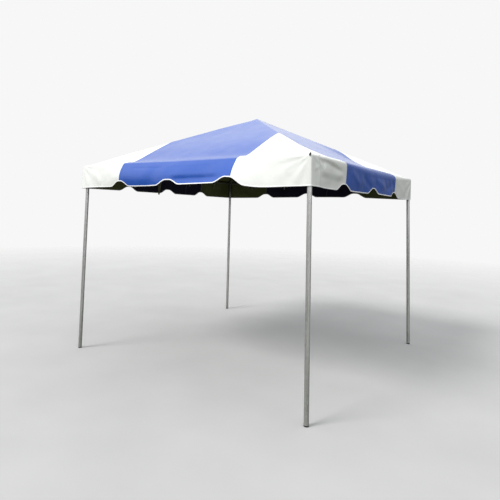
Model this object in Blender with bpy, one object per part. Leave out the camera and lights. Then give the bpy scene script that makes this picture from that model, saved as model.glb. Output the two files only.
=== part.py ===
# A 10 ft by 10 ft frame tent: steel tubes in slip fittings under a striped vinyl top with a valance.
# The origin is on the floor under the middle of the whole tent. The front faces -Y and the right side +X.

import math

import bmesh
import bpy
from mathutils import Matrix, Vector

# Driving dimensions, in metres
SIDE = 3.048  # width of the top from corner to corner, 10 ft
EAVE_Z = 2.180  # height where the roof slope meets the plane of the valance
PEAK_Z = 2.878
VALANCE_DROP = 0.264
NOTCH_RISE = 0.068  # height of the three arched notches in the hem of each side
NOTCH_TOP_HALF = 0.045
NOTCH_FOOT_HALF = 0.155
SHOULDER_RADIUS = 0.030  # bend of the top over the eave
FABRIC = 0.002
TUBE_RADIUS = 0.02065  # 1-5/8 in tube
SLEEVE_RADIUS = 0.0245
TUBE_INSET = 0.032  # from the plane of the valance to the axes of the legs and eave rails
LEG_SLEEVE = 0.140  # reach of each sleeve from the point where the axes meet
RAIL_SLEEVE = 0.120
HIP_SLEEVE = 0.150
LEG_END = 0.040  # distance from that point to the end of each tube
RAIL_END = 0.050
HIP_END = 0.075
CROWN_END = 0.060
BORE_SPARE = 0.004  # a bore is this much deeper than its tube reaches
PLUG_HEIGHT = 0.011
PLUG_BEVEL = 0.0015
PANEL_TIP = 0.008  # the last narrow strip of a corner panel
FIT = 0.0003  # clearance between pieces that touch

# How the wind and its own weight shape the vinyl on each side. A lean is the share by which a shape grows
# from the middle of the side to its counter-clockwise end.
BILLOW = {"front": 0.102, "right": -0.020, "back": -0.060, "left": 0.012}  # outward reach of the hem
BILLOW_LEAN = {"front": 0.35, "right": -0.4, "back": -0.5, "left": -3.5}
BILLOW_FULLNESS = 2.5  # the larger, the wider the middle that swings out fully
HEM_LIFT = 0.67  # share of reach squared over length by which a hem that swings out rises
SAG = {"front": 0.030, "right": 0.034, "back": 0.032, "left": 0.030}  # depth of the hollow above the eave
SAG_LEAN = {"front": -0.25, "right": 0.85, "back": 0.2, "left": 0.3}
SAG_PLACE = {"front": 0.20, "right": 0.35, "back": 0.28, "left": 0.30}  # the deepest line, in from the eave
SAG_START = 0.055  # distance in from the eave where the vinyl leaves the rail
SAG_FROM_HIP = 0.50  # distance from a hip where the sag is full

# The tie loop that hangs from the left eave rail
LOOP_Y = -0.245
LOOP_HALF_WIDTH = 0.040
LOOP_STRAP = 0.025
LOOP_DEPTH = 0.255  # below the axis of the rail
LOOP_CROTCH = 0.040  # height of the strap where its two halves meet
LOOP_TIP_HALF = 0.0075

# Derived places
HALF = SIDE / 2
STRIPE = SIDE / 4  # half the width of the blue stripe in the middle of each side
SLOPE = (PEAK_Z - EAVE_Z) / HALF
PITCH = math.atan(SLOPE)
AXIS_DROP = (FABRIC + FIT + SLEEVE_RADIUS) / math.cos(PITCH)  # from the top face down to a tube's axis
AXIS = HALF - TUBE_INSET
RAIL_Z = EAVE_Z + SLOPE * TUBE_INSET - AXIS_DROP
CROWN_Z = EAVE_Z + SLOPE * HALF - AXIS_DROP
HIP_PITCH = math.atan(SLOPE / math.sqrt(2))
BEND = math.pi / 2 - PITCH  # angle that the top turns through at the eave
BEND_REACH = SHOULDER_RADIUS * math.tan(BEND / 2)
ROOF_START = BEND_REACH * math.cos(PITCH)  # distance in from the valance where the bend begins
FRAME_PLACE = Matrix.Translation((0, BILLOW["front"] / 2, 0))  # the blown hem adds to the front

# How finely the meshes are divided
TUBE_SIDES = 24
SHOULDER_STEPS = 3
VALANCE_ROWS = (0.35, 0.68, 1.0)  # shares of the drop below the shoulder
BLUE_CELLS = 10
WHITE_CELLS = 6
ROW_CROWDING = 1.6  # rows of the roof mesh crowd towards the eave, where the vinyl curves most
TUBE_SMOOTH = math.radians(35)
VINYL_SMOOTH = math.radians(30)

SIDES = ["front", "right", "back", "left"]  # counter-clockwise seen from above
CORNERS = ["front_left", "front_right", "back_right", "back_left"]
CORNER_SIGNS = [(-1, -1), (1, -1), (1, 1), (-1, 1)]

for old in list(bpy.data.objects):
    bpy.data.objects.remove(old)


def material(name, colour, roughness, metallic=0.0):
    made = bpy.data.materials.new(name)
    made.use_nodes = True
    shader = made.node_tree.nodes["Principled BSDF"]
    shader.inputs["Base Color"].default_value = (*colour, 1.0)
    shader.inputs["Roughness"].default_value = roughness
    shader.inputs["Metallic"].default_value = metallic
    return made


BLUE_VINYL = material("blue_vinyl", (0.035, 0.090, 0.560), 0.40)
WHITE_VINYL = material("white_vinyl", (0.86, 0.87, 0.85), 0.42)
STEEL = material("galvanised_steel", (0.52, 0.53, 0.53), 0.38, 1.0)
BLACK_PLASTIC = material("black_plastic", (0.015, 0.015, 0.016), 0.55)
WEBBING = material("webbing", (0.24, 0.22, 0.17), 0.85)


def turn(k):
    """The quarter turns that carry the front side, or the front left corner, to number k."""
    return Matrix.Rotation(k * math.pi / 2, 4, "Z")


def add_object(name, mesh, finish, matrix=None, smooth_angle=None):
    """A named object, with its place given in axes that have their origin under the peak."""
    made = bpy.data.objects.new(name, mesh)
    bpy.context.scene.collection.objects.link(made)
    made.matrix_world = FRAME_PLACE @ (matrix or Matrix())
    if not mesh.materials:
        mesh.materials.append(finish)
    if smooth_angle is not None:
        mesh.shade_smooth()
        mesh.set_sharp_from_angle(angle=smooth_angle)


def mesh_of(bm, name):
    bmesh.ops.recalc_face_normals(bm, faces=bm.faces)
    mesh = bpy.data.meshes.new(name)
    bm.to_mesh(mesh)
    bm.free()
    return mesh


# Tubes, plugs and fittings


def cylinder(name, start, end, radius, sides=TUBE_SIDES):
    """A capped cylinder between two points, as a mesh."""
    start, end = Vector(start), Vector(end)
    axis = end - start
    place = Matrix.Translation((start + end) / 2) @ axis.to_track_quat("Z", "Y").to_matrix().to_4x4()
    bm = bmesh.new()
    bmesh.ops.create_cone(
        bm, cap_ends=True, segments=sides, radius1=radius, radius2=radius, depth=axis.length, matrix=place
    )
    return mesh_of(bm, name)


def add_tube(name, start, end):
    add_object(name, cylinder(name, start, end, TUBE_RADIUS), STEEL, smooth_angle=TUBE_SMOOTH)


def fitting_mesh(name, sleeves):
    """Sleeves welded at one point and bored for their tubes, each given by (direction, reach, tube's end)."""
    helpers = []

    def helper(label, mesh):
        made = bpy.data.objects.new(label, mesh)
        bpy.context.scene.collection.objects.link(made)
        made.hide_render = True
        made.display_type = "WIRE"
        helpers.append(made)
        return made

    bm = bmesh.new()
    bmesh.ops.create_uvsphere(bm, u_segments=16, v_segments=10, radius=SLEEVE_RADIUS)
    body = helper(name + "_hub", mesh_of(bm, name + "_hub"))

    def boolean(operation, mesh):
        modifier = body.modifiers.new(operation.lower(), "BOOLEAN")
        modifier.operation = operation
        modifier.solver = "EXACT"
        modifier.object = helper(mesh.name, mesh)

    for number, (direction, reach, _) in enumerate(sleeves):
        boolean("UNION", cylinder(f"{name}_sleeve_{number}", (0, 0, 0), direction * reach, SLEEVE_RADIUS))
    for number, (direction, reach, tube_end) in enumerate(sleeves):
        bore_start, bore_end = direction * (tube_end - BORE_SPARE), direction * (reach + SLEEVE_RADIUS)
        boolean("DIFFERENCE", cylinder(f"{name}_bore_{number}", bore_start, bore_end, TUBE_RADIUS + FIT))
    bpy.context.view_layer.update()
    graph = bpy.context.evaluated_depsgraph_get()
    mesh = bpy.data.meshes.new_from_object(body.evaluated_get(graph))
    mesh.name = name
    for made in helpers:
        bpy.data.objects.remove(made)
    return mesh


def plug_mesh():
    """The end plug under a leg, with its rims rounded."""
    bm = bmesh.new()
    bmesh.ops.create_cone(
        bm, cap_ends=True, segments=TUBE_SIDES, radius1=TUBE_RADIUS, radius2=TUBE_RADIUS, depth=PLUG_HEIGHT
    )
    rims = [edge for edge in bm.edges if len({round(v.co.z, 6) for v in edge.verts}) == 1]
    bmesh.ops.bevel(bm, geom=rims, offset=PLUG_BEVEL, segments=2, affect="EDGES", profile=0.5)
    return mesh_of(bm, "foot_plug")


def hip_direction(side_x, side_y):
    """From a corner up along its hip, for a corner at side_x, side_y."""
    flat = Vector((-side_x, -side_y, 0)).normalized()
    return flat * math.cos(HIP_PITCH) + Vector((0, 0, math.sin(HIP_PITCH)))


def add_frame():
    down, along_x, along_y = Vector((0, 0, -1)), Vector((1, 0, 0)), Vector((0, 1, 0))
    corner = fitting_mesh(
        "corner_fitting",
        [
            (down, LEG_SLEEVE, LEG_END),
            (along_x, RAIL_SLEEVE, RAIL_END),
            (along_y, RAIL_SLEEVE, RAIL_END),
            (hip_direction(-1, -1), HIP_SLEEVE, HIP_END),
        ],
    )
    crown = fitting_mesh(
        "crown_fitting",
        [(-hip_direction(*signs), HIP_SLEEVE, CROWN_END) for signs in CORNER_SIGNS],
    )
    plug = plug_mesh()
    apex = Vector((0, 0, CROWN_Z))
    add_object("crown_fitting", crown, STEEL, Matrix.Translation(apex), TUBE_SMOOTH)
    for k, name in enumerate(CORNERS):
        joint = turn(k) @ Vector((-AXIS, -AXIS, RAIL_Z))
        next_joint = turn(k + 1) @ Vector((-AXIS, -AXIS, RAIL_Z))
        foot = Vector((joint.x, joint.y, 0))
        hip = (apex - joint).normalized()
        rail = (next_joint - joint).normalized()
        plug_place = Matrix.Translation((joint.x, joint.y, PLUG_HEIGHT / 2))
        corner_place = Matrix.Translation(joint) @ turn(k)
        add_object(f"corner_fitting_{name}", corner, STEEL, corner_place, TUBE_SMOOTH)
        add_object(f"foot_plug_{name}", plug, BLACK_PLASTIC, plug_place, TUBE_SMOOTH)
        add_tube(f"leg_{name}", foot + Vector((0, 0, PLUG_HEIGHT + FIT)), joint + down * LEG_END)
        add_tube(f"hip_rafter_{name}", joint + hip * HIP_END, apex - hip * CROWN_END)
        add_tube(f"eave_rail_{SIDES[k]}", joint + rail * RAIL_END, next_joint - rail * RAIL_END)


# The vinyl top. On every side x runs along the eave, and inward is the distance in from the valance's plane.


def smoothstep(value):
    value = min(max(value, 0.0), 1.0)
    return value * value * (3 - 2 * value)


def roof_z(side, x, inward):
    """Height of the top face of the roof."""
    share = min(max((inward - SAG_START) / (HALF - SAG_START), 0.0), 1.0)
    deepest = (SAG_PLACE[side] - SAG_START) / (HALF - SAG_START)
    fade = 2 * (1 - deepest) / deepest
    hollow = (share / deepest) ** 2 * ((1 - share) / (1 - deepest)) ** fade
    from_hip = smoothstep((HALF - inward - abs(x)) / SAG_FROM_HIP)
    lean = SAG_LEAN[side] * min(max(x / STRIPE, -1.0), 1.0)
    sag = SAG[side] * (1 + lean) * hollow * from_hip
    return EAVE_Z + SLOPE * inward - sag


def place(k, x, inward, z):
    """A point of side k in the tent's own axes."""
    return turn(k) @ Vector((x, -(HALF - inward), z))


def closed_sheet(bm, outer, inner):
    """Two grids of points, equal in rows and columns, closed round their edges into one slab."""
    rows, columns = len(outer), len(outer[0])
    grids = [[[bm.verts.new(point) for point in row] for row in grid] for grid in (outer, inner)]
    for grid in grids:
        for i in range(rows - 1):
            for j in range(columns - 1):
                bm.faces.new((grid[i][j], grid[i][j + 1], grid[i + 1][j + 1], grid[i + 1][j]))
    rim = [(0, j) for j in range(columns)] + [(i, columns - 1) for i in range(1, rows)]
    rim += [(rows - 1, j) for j in range(columns - 2, -1, -1)] + [(i, 0) for i in range(rows - 2, 0, -1)]
    for (i, j), (m, n) in zip(rim, rim[1:] + rim[:1]):
        bm.faces.new((grids[0][i][j], grids[0][m][n], grids[1][m][n], grids[1][i][j]))


def add_roof_panel(name, k, columns, rows, vinyl):
    """One panel of side k, from the eave up to the hip or hips, through the given places along the eave."""
    lean = FABRIC * math.sin(PITCH)  # the lower edge is cut square to the slope

    def grid(depth, shift):
        points = []
        for x in columns:
            bottom, top = ROOF_START + FIT + shift, HALF - abs(x) - FIT
            steps = [bottom + (top - bottom) * (i / rows) ** ROW_CROWDING for i in range(rows + 1)]
            points.append([place(k, x, d, roof_z(SIDES[k], x, d) - depth) for d in steps])
        return points

    bm = bmesh.new()
    closed_sheet(bm, grid(0.0, 0.0), grid(FABRIC / math.cos(PITCH), lean))
    add_object(name, mesh_of(bm, name), vinyl, smooth_angle=VINYL_SMOOTH)


def spread(start, end, count):
    return [start + (end - start) * i / count for i in range(count + 1)]


def add_roof():
    tip = HALF - ROOF_START - FIT - PANEL_TIP
    edge = STRIPE + FIT / 2
    for k, side in enumerate(SIDES):
        before, after = SIDES[k - 1], SIDES[(k + 1) % 4]
        stripe = spread(-STRIPE + FIT / 2, STRIPE - FIT / 2, BLUE_CELLS)
        left, right = spread(-tip, -edge, WHITE_CELLS), spread(edge, tip, WHITE_CELLS)
        add_roof_panel(f"roof_blue_{side}", k, stripe, BLUE_CELLS, BLUE_VINYL)
        add_roof_panel(f"roof_white_{side}_near_{before}", k, left, WHITE_CELLS, WHITE_VINYL)
        add_roof_panel(f"roof_white_{side}_near_{after}", k, right, WHITE_CELLS, WHITE_VINYL)


def hem_rise(x):
    """How far the hem is above its lowest line: three arched notches."""
    nearest = min(abs(x - notch) for notch in (-STRIPE, 0.0, STRIPE))
    return NOTCH_RISE * (1 - smoothstep((nearest - NOTCH_TOP_HALF) / (NOTCH_FOOT_HALF - NOTCH_TOP_HALF)))


def valance_places():
    """Places along the eave: close together in the notches, wider on the tabs."""
    ramp = spread(NOTCH_TOP_HALF, NOTCH_FOOT_HALF, 4)
    found = []
    for notch in (-STRIPE, 0.0, STRIPE):
        found += [notch - r for r in reversed(ramp)] + [notch] + [notch + r for r in ramp]
    for middle in (-STRIPE / 2, STRIPE / 2):
        found += spread(middle - STRIPE / 2 + NOTCH_FOOT_HALF, middle + STRIPE / 2 - NOTCH_FOOT_HALF, 3)[1:-1]
    for sign in (-1, 1):
        found += [sign * x for x in spread(STRIPE + NOTCH_FOOT_HALF, HALF, 4)[1:]]
    return sorted(found)


def valance_profile(side, x, offset):
    """From the start of the bend to the hem: (inward, z, mitre) at an offset into the vinyl's thickness."""
    middle_z = EAVE_Z - BEND_REACH
    radius = SHOULDER_RADIUS - offset
    points = []
    for angle in spread(BEND, 0.0, SHOULDER_STEPS):
        inward = SHOULDER_RADIUS - radius * math.cos(angle)
        points.append((inward, middle_z + radius * math.sin(angle), inward))
    lean = 1 + BILLOW_LEAN[side] * x / HALF
    reach = BILLOW[side] * lean * (1 - (abs(x) / HALF) ** BILLOW_FULLNESS)
    length = VALANCE_DROP - BEND_REACH
    lift = HEM_LIFT * reach * reach / length
    for share in VALANCE_ROWS:
        out = reach * (1 - (1 - share) ** 2)
        points.append((offset - out, middle_z - share * (length - hem_rise(x) - lift), offset))
    return points


def mitred(x, mitre):
    """A place along the eave, drawn in so that the ends of two sides meet on the diagonal."""
    beyond = max(abs(x) - STRIPE, 0.0) * (HALF - mitre - FIT - STRIPE) / (HALF - STRIPE)
    return math.copysign(min(abs(x), STRIPE) + beyond, x)


def add_valance_panel(name, k, columns, vinyl):
    """One length of the valance of side k, with its shoulder over the eave."""

    def column(x, offset):
        profile = valance_profile(SIDES[k], x, offset)
        return [place(k, mitred(x, mitre), inward, z) for inward, z, mitre in profile]

    def grid(offset):
        return [column(x, offset) for x in columns]

    bm = bmesh.new()
    closed_sheet(bm, grid(0.0), grid(FABRIC))
    add_object(name, mesh_of(bm, name), vinyl, smooth_angle=VINYL_SMOOTH)


def add_valances():
    seam = STRIPE + FIT / 2
    for k, side in enumerate(SIDES):
        before, after = SIDES[k - 1], SIDES[(k + 1) % 4]
        places = valance_places()
        blue = [-STRIPE + FIT / 2] + [x for x in places if abs(x) < STRIPE - FIT] + [STRIPE - FIT / 2]
        left = [x for x in places if x < -seam] + [-seam]
        right = [seam] + [x for x in places if x > seam]
        add_valance_panel(f"valance_blue_{side}", k, blue, BLUE_VINYL)
        add_valance_panel(f"valance_white_{side}_near_{before}", k, left, WHITE_VINYL)
        add_valance_panel(f"valance_white_{side}_near_{after}", k, right, WHITE_VINYL)


def add_tie_loop():
    """A V of webbing under the left eave rail."""
    top = RAIL_Z - TUBE_RADIUS - FIT
    bottom = RAIL_Z - LOOP_DEPTH
    half, strap = LOOP_HALF_WIDTH, LOOP_STRAP
    outline = [(-half, top), (-half + strap, top), (0.0, bottom + LOOP_CROTCH), (half - strap, top)]
    outline += [(half, top), (LOOP_TIP_HALF, bottom), (-LOOP_TIP_HALF, bottom)]
    bm = bmesh.new()
    rim = [bm.verts.new((-AXIS - FABRIC / 2, LOOP_Y + y, z)) for y, z in outline]
    made = bmesh.ops.extrude_face_region(bm, geom=[bm.faces.new(rim)])
    moved = [item for item in made["geom"] if isinstance(item, bmesh.types.BMVert)]
    bmesh.ops.translate(bm, verts=moved, vec=(FABRIC, 0, 0))
    add_object("tie_loop_left", mesh_of(bm, "tie_loop_left"), WEBBING)


add_frame()
add_roof()
add_valances()
add_tie_loop()
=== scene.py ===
"""Looks for the 10 ft frame tent: the vinyl top as eight welded sheets with folds, seams and a taped hem,
the finish of the galvanised frame, its pins and straps, and a plain studio with the photograph's camera."""

import math

import bpy
import numpy as np
from mathutils import Matrix, Vector, noise


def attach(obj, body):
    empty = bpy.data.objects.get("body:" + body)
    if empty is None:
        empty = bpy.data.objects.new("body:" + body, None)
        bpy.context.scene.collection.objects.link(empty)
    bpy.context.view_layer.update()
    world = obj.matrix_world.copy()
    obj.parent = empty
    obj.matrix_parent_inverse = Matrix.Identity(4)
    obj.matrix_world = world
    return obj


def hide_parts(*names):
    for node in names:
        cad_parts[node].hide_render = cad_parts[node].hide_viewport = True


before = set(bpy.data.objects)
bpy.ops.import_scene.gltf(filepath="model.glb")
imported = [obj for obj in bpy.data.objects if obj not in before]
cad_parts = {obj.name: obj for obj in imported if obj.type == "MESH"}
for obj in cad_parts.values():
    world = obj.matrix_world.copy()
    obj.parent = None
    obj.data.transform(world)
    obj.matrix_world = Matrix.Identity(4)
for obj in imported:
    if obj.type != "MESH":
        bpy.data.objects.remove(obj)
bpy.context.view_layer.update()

# Sizes of the frame and the top, in metres, as in the part's source
SIDE = 3.048
EAVE_Z = 2.18
PEAK_Z = 2.878
VALANCE_DROP = 0.264
SHOULDER_RADIUS = 0.03
TUBE_RADIUS = 0.02065
SLEEVE_RADIUS = 0.0245
TUBE_INSET = 0.032
LEG_SLEEVE = 0.14
RAIL_SLEEVE = 0.12
HIP_SLEEVE = 0.15
FABRIC_IN_CAD = 0.002
CLEARANCE = 0.0003
HEM_LIFT = 0.67
SAG_START = 0.055
LOOP_Y = -0.245
LOOP_DEPTH = 0.255
LOOP_HALF_WIDTH = 0.04

HALF = SIDE / 2
STRIPE = SIDE / 4
SLOPE = (PEAK_Z - EAVE_Z) / HALF
PITCH = math.atan(SLOPE)
AXIS_DROP = (FABRIC_IN_CAD + CLEARANCE + SLEEVE_RADIUS) / math.cos(PITCH)
AXIS = HALF - TUBE_INSET
RAIL_Z = EAVE_Z + SLOPE * TUBE_INSET - AXIS_DROP
CROWN_Z = EAVE_Z + SLOPE * HALF - AXIS_DROP
BEND = math.pi / 2 - PITCH
BEND_REACH = SHOULDER_RADIUS * math.tan(BEND / 2)
ROOF_START = BEND_REACH * math.cos(PITCH)
HANG = VALANCE_DROP - BEND_REACH  # from the end of the bend down to the hem
MOVED_BACK = 0.051  # the peak is this far behind the middle of the part's box

# Shape of the cloth, which keeps closer to the photograph than the part's panels
NOTCH_RISE = 0.058  # of the scallops in the hem
NOTCH_TOP_HALF = 0.022
NOTCH_FOOT_HALF = 0.168
SAG = {"front": 0.028, "right": 0.045, "back": 0.027, "left": 0.03}
SAG_LEAN = {"front": 0.22, "right": 0.29, "back": 0.2, "left": 0.3}
SAG_PLACE = {"front": 0.2, "right": 0.34, "back": 0.3, "left": 0.3}  # the deepest line, in from the eave
SAG_FROM_HIP = 0.25  # distance from a hip where the sag is full
ROOF_LIFT = 0.01  # how far the cloth stands off the frame's plane, away from the eave
ROOF_LIFT_FULL = 0.35  # distance in from the eave where it does so in full
HIP_LIFT = np.array((0.012, 0.0, 0.003, 0.006))  # of the cloth over each hip, in the order of CORNERS
HIP_SPREAD = 0.22
HIP_LIFT_FULL = 0.5  # distance from the peak where the hips are lifted in full
LIFT_REACH = 0.14  # how far in from the eave the wind lifts the cloth off the rail
REST_RADIUS = TUBE_RADIUS + 0.0032  # of the cloth's outer face where it lies on a rail and its straps
SWING_CURVE = 0.35  # how much of its swing the valance has gone before it is halfway down
RIDGE_ROUND = 0.01  # roundness of a hip
CORNER_ROUND = 0.014  # roundness of the upright edge at a corner
CORNER_BLEND = 0.1  # how far in from the eave that edge goes over into the hip
BLUNT_TIP = 0.006
PEAK_RISE = 0.014  # how far the crown's cap pushes the peak up
PEAK_SPREAD = 0.3
EAVE_WRINKLES, WIDE_FOLDS, FAN_FOLDS = 0.002, 0.0035, 0.0007  # heights of the roof's folds
HANGING_FOLDS, FINE_FOLDS, CORNER_FOLDS = 0.0095, 0.0022, 0.0022  # heights of the valance's

# The sheets
SHEET = 0.001  # thickness of the vinyl
OVERLAP = 0.011  # half the width of a welded seam
WELD_STEP = 0.0011  # the upper sheet of a seam is raised by this
WELD_FADE = 0.004
TAPE_HEIGHT = 0.01
TAPE_THICK = 0.0009
STRIP_COLUMNS, CORNER_HALF_COLUMNS = 156, 60
HANG_ROWS, BEND_ROWS, STRIP_ROOF_ROWS, CORNER_ROOF_ROWS = 30, 6, 90, 56

SIDES = ["front", "right", "back", "left"]
CORNERS = ["front_left", "front_right", "back_right", "back_left"]

# The camera of the photograph, and the middle of its uncropped picture in a frame of 500 by 500 pixels
PICTURE = 500
CAMERA_PLACE = (3.134, -4.858 + MOVED_BACK, 1.699)
CAMERA_YAW, CAMERA_PITCH, CAMERA_ROLL = 37.6, 3.95, 1.62
FOCAL_PIXELS = 445.1
MIDDLE_X, MIDDLE_Y = 218.6, 179.1


# Materials


def feed(node, **inputs):
    """Gives a node's inputs numbers, colours or other nodes' outputs. An input's name has _ for a space, and
    _0 is the first input."""
    for name, value in inputs.items():
        number = name[1:]
        socket = node.inputs[int(number)] if number.isdigit() else node.inputs[name.replace("_", " ")]
        if isinstance(value, bpy.types.NodeSocket):
            node.id_data.links.new(value, socket)
        else:
            socket.default_value = value
    return node


def add_node(tree, kind, **inputs):
    """A node; its kind is the name of its type after ShaderNode."""
    return feed(tree.nodes.new("ShaderNode" + kind), **inputs)


def math_node(tree, operation, *values):
    made = add_node(tree, "Math", **{f"_{number}": value for number, value in enumerate(values)})
    made.operation = operation
    return made.outputs[0]


def new_material(name, roughness, metallic=0, specular=0.5):
    made = bpy.data.materials.new(name)
    made.use_nodes = True
    shader = made.node_tree.nodes["Principled BSDF"]
    feed(shader, Roughness=roughness, Metallic=metallic)
    shader.inputs["Specular IOR Level"].default_value = specular
    return made, made.node_tree, shader


def place_scaled(tree, scale):
    """Coordinates in metres, stretched by a factor for each axis."""
    where = add_node(tree, "TexCoord").outputs["Object"]
    return add_node(tree, "Mapping", Vector=where, Scale=scale).outputs["Vector"]


def noise_at(tree, scale, detail=3, rough=0.5, distortion=0, stretch=(1, 1, 1)):
    where = place_scaled(tree, stretch)
    settings = {"Scale": scale, "Detail": detail, "Roughness": rough, "Distortion": distortion}
    return add_node(tree, "TexNoise", Vector=where, **settings).outputs["Fac"]


def mapped(tree, value, low, high, start=0, end=1):
    """A value that goes from low to high while another goes from start to end."""
    ranges = {"From_Min": start, "From_Max": end, "To_Min": low, "To_Max": high}
    return add_node(tree, "MapRange", Value=value, **ranges).outputs["Result"]


def blended(tree, factor, first, second):
    made = add_node(tree, "Mix")
    made.data_type = "RGBA"
    first, second = ((*c, 1) if isinstance(c, tuple) else c for c in (first, second))
    return feed(made, Factor=factor, A=first, B=second).outputs["Result"]


def bumped(tree, shader, layers):
    """Bump layers as (height socket, strength, distance in metres), one on top of the other."""
    below = {}
    for height, strength, distance in layers:
        made = add_node(tree, "Bump", Height=height, Strength=strength, Distance=distance, **below)
        below = {"Normal": made.outputs["Normal"]}
    feed(shader, **below)


SCRIM_THREADS = 420  # in each metre of the vinyl
STRAP_THREADS = 450
VINYL_ROUGHNESS = 0.42
COAT_ROUGHNESS = 0.26
CLOTH_ROUGHNESS = 0.85


def weave_height(tree, threads_per_metre):
    """A faint grid of threads, from the piece's own cloth coordinates."""
    where = add_node(tree, "UVMap")
    where.uv_map = "cloth"
    parts = add_node(tree, "SeparateXYZ", Vector=where.outputs["UV"])
    waves = []
    for axis in ("X", "Y"):
        turns = math_node(tree, "MULTIPLY", parts.outputs[axis], threads_per_metre * 2 * math.pi)
        waves.append(math_node(tree, "SINE", turns))
    return math_node(tree, "ADD", *waves)


def vinyl(name, colour, faded, smudge, specular, coat=0):
    """Coated polyester: two close shades, a faint smudge, soft packing creases and the grid of its scrim."""
    made, tree, shader = new_material(name, VINYL_ROUGHNESS, specular=specular)
    shader.inputs["Coat Weight"].default_value = coat
    shader.inputs["Coat Roughness"].default_value = COAT_ROUGHNESS
    cloudy = mapped(tree, noise_at(tree, 1.4, 4), 0, 1, 0.35, 0.68)
    base = blended(tree, cloudy, colour, faded)
    marks = mapped(tree, noise_at(tree, 3.2, 5, 0.62, 0.8), 0, 0.55, 0.55, 0.8)
    feed(shader, Base_Color=blended(tree, marks, base, smudge))
    shine = mapped(tree, noise_at(tree, 5), VINYL_ROUGHNESS - 0.05, VINYL_ROUGHNESS + 0.07, 0.3, 0.7)
    feed(shader, Roughness=shine)
    creases = noise_at(tree, 9, 4, 0.55, 0.9)
    crumple = noise_at(tree, 34, 3, 0.5, 0.4)
    scrim = weave_height(tree, SCRIM_THREADS)
    bumped(tree, shader, [(creases, 0.25, 0.006), (crumple, 0.18, 0.0012), (scrim, 0.1, 0.0001)])
    return made


def shaded_underside(name, colour, faded):
    """The underside of the vinyl, nearly without shine. Its colour is painted shade: near black under the
    blue, and dark olive under the white, where a green bounce from the ground is painted in as well.
    """
    made, tree, shader = new_material(name, CLOTH_ROUGHNESS, specular=0.06)
    cloudy = mapped(tree, noise_at(tree, 4, 4), 0, 1, 0.35, 0.65)
    feed(shader, Base_Color=blended(tree, cloudy, colour, faded))
    scrim = weave_height(tree, SCRIM_THREADS)
    bumped(tree, shader, [(noise_at(tree, 12, 4), 0.3, 0.004), (scrim, 0.15, 0.0001)])
    return made


def galvanised(name, light, dark, roughness, metallic):
    """Zinc on steel: pale and darker flakes, thin streaks along the tubes and a little grime."""
    made, tree, shader = new_material(name, roughness, metallic=metallic)
    where = place_scaled(tree, (1, 1, 0.45))
    flakes = add_node(tree, "TexVoronoi", Vector=where, Scale=95, Randomness=1)
    tone = mapped(tree, flakes.outputs["Color"], 0, 1)
    streaks = mapped(tree, noise_at(tree, 26, 5, stretch=(1, 1, 0.05)), 0, 1, 0.38, 0.66)
    zinc = blended(tree, streaks, blended(tree, tone, light, dark), light)
    grime = mapped(tree, noise_at(tree, 7, 6, 0.65), 0, 0.6, 0.52, 0.75)
    feed(shader, Base_Color=blended(tree, grime, zinc, dark))
    feed(shader, Roughness=mapped(tree, streaks, roughness - 0.06, roughness + 0.1))
    bumped(tree, shader, [(tone, 0.06, 0.0006), (noise_at(tree, 220, 2), 0.08, 0.0003)])
    return made


def webbing(name, colour, faded):
    """Woven strap, a little worn."""
    made, tree, shader = new_material(name, CLOTH_ROUGHNESS, specular=0.25)
    worn = mapped(tree, noise_at(tree, 40, 4), 0, 1, 0.35, 0.65)
    feed(shader, Base_Color=blended(tree, worn, colour, faded))
    weave = weave_height(tree, STRAP_THREADS)
    bumped(tree, shader, [(weave, 0.6, 0.0004), (noise_at(tree, 160), 0.3, 0.0003)])
    return made


def moulded(name, colour, faded, roughness):
    """Moulded black plastic with a scuffed, grainy face."""
    made, tree, shader = new_material(name, roughness, specular=0.4)
    scuffs = mapped(tree, noise_at(tree, 60, 5, 0.7), 0, 1, 0.45, 0.75)
    feed(shader, Base_Color=blended(tree, scuffs, colour, faded))
    feed(shader, Roughness=mapped(tree, scuffs, roughness, roughness + 0.2))
    bumped(tree, shader, [(noise_at(tree, 400, 2), 0.2, 0.0002)])
    return made


BLUE = vinyl("blue_vinyl_face", (0.013, 0.076, 0.388), (0.018, 0.088, 0.418), (0.015, 0.07, 0.35), 0.3, 0.86)
WHITE = vinyl("white_vinyl_face", (0.775, 0.79, 0.76), (0.735, 0.755, 0.715), (0.66, 0.68, 0.62), 0.4, 0.5)
# The undersides are painted shade: the same vinyl as the faces, darkened as if in the shadow of the top, and
# tinted olive under the white as painted green bounce light
BLUE_UNDERSIDE_PAINTED_SHADE = shaded_underside("blue_vinyl_underside_painted_shade", (0.05, 0.045, 0.1), (0.066, 0.06, 0.12))
WHITE_UNDERSIDE_PAINTED_SHADE = shaded_underside("white_vinyl_underside_painted_shade", (0.215, 0.23, 0.098), (0.285, 0.3, 0.14))
TAPE = vinyl("hem_tape", (0.86, 0.87, 0.87), (0.82, 0.83, 0.83), (0.72, 0.73, 0.72), 0.5)
STEEL = galvanised("galvanised_tube", (0.74, 0.74, 0.72), (0.54, 0.54, 0.53), 0.3, 0.75)
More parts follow.
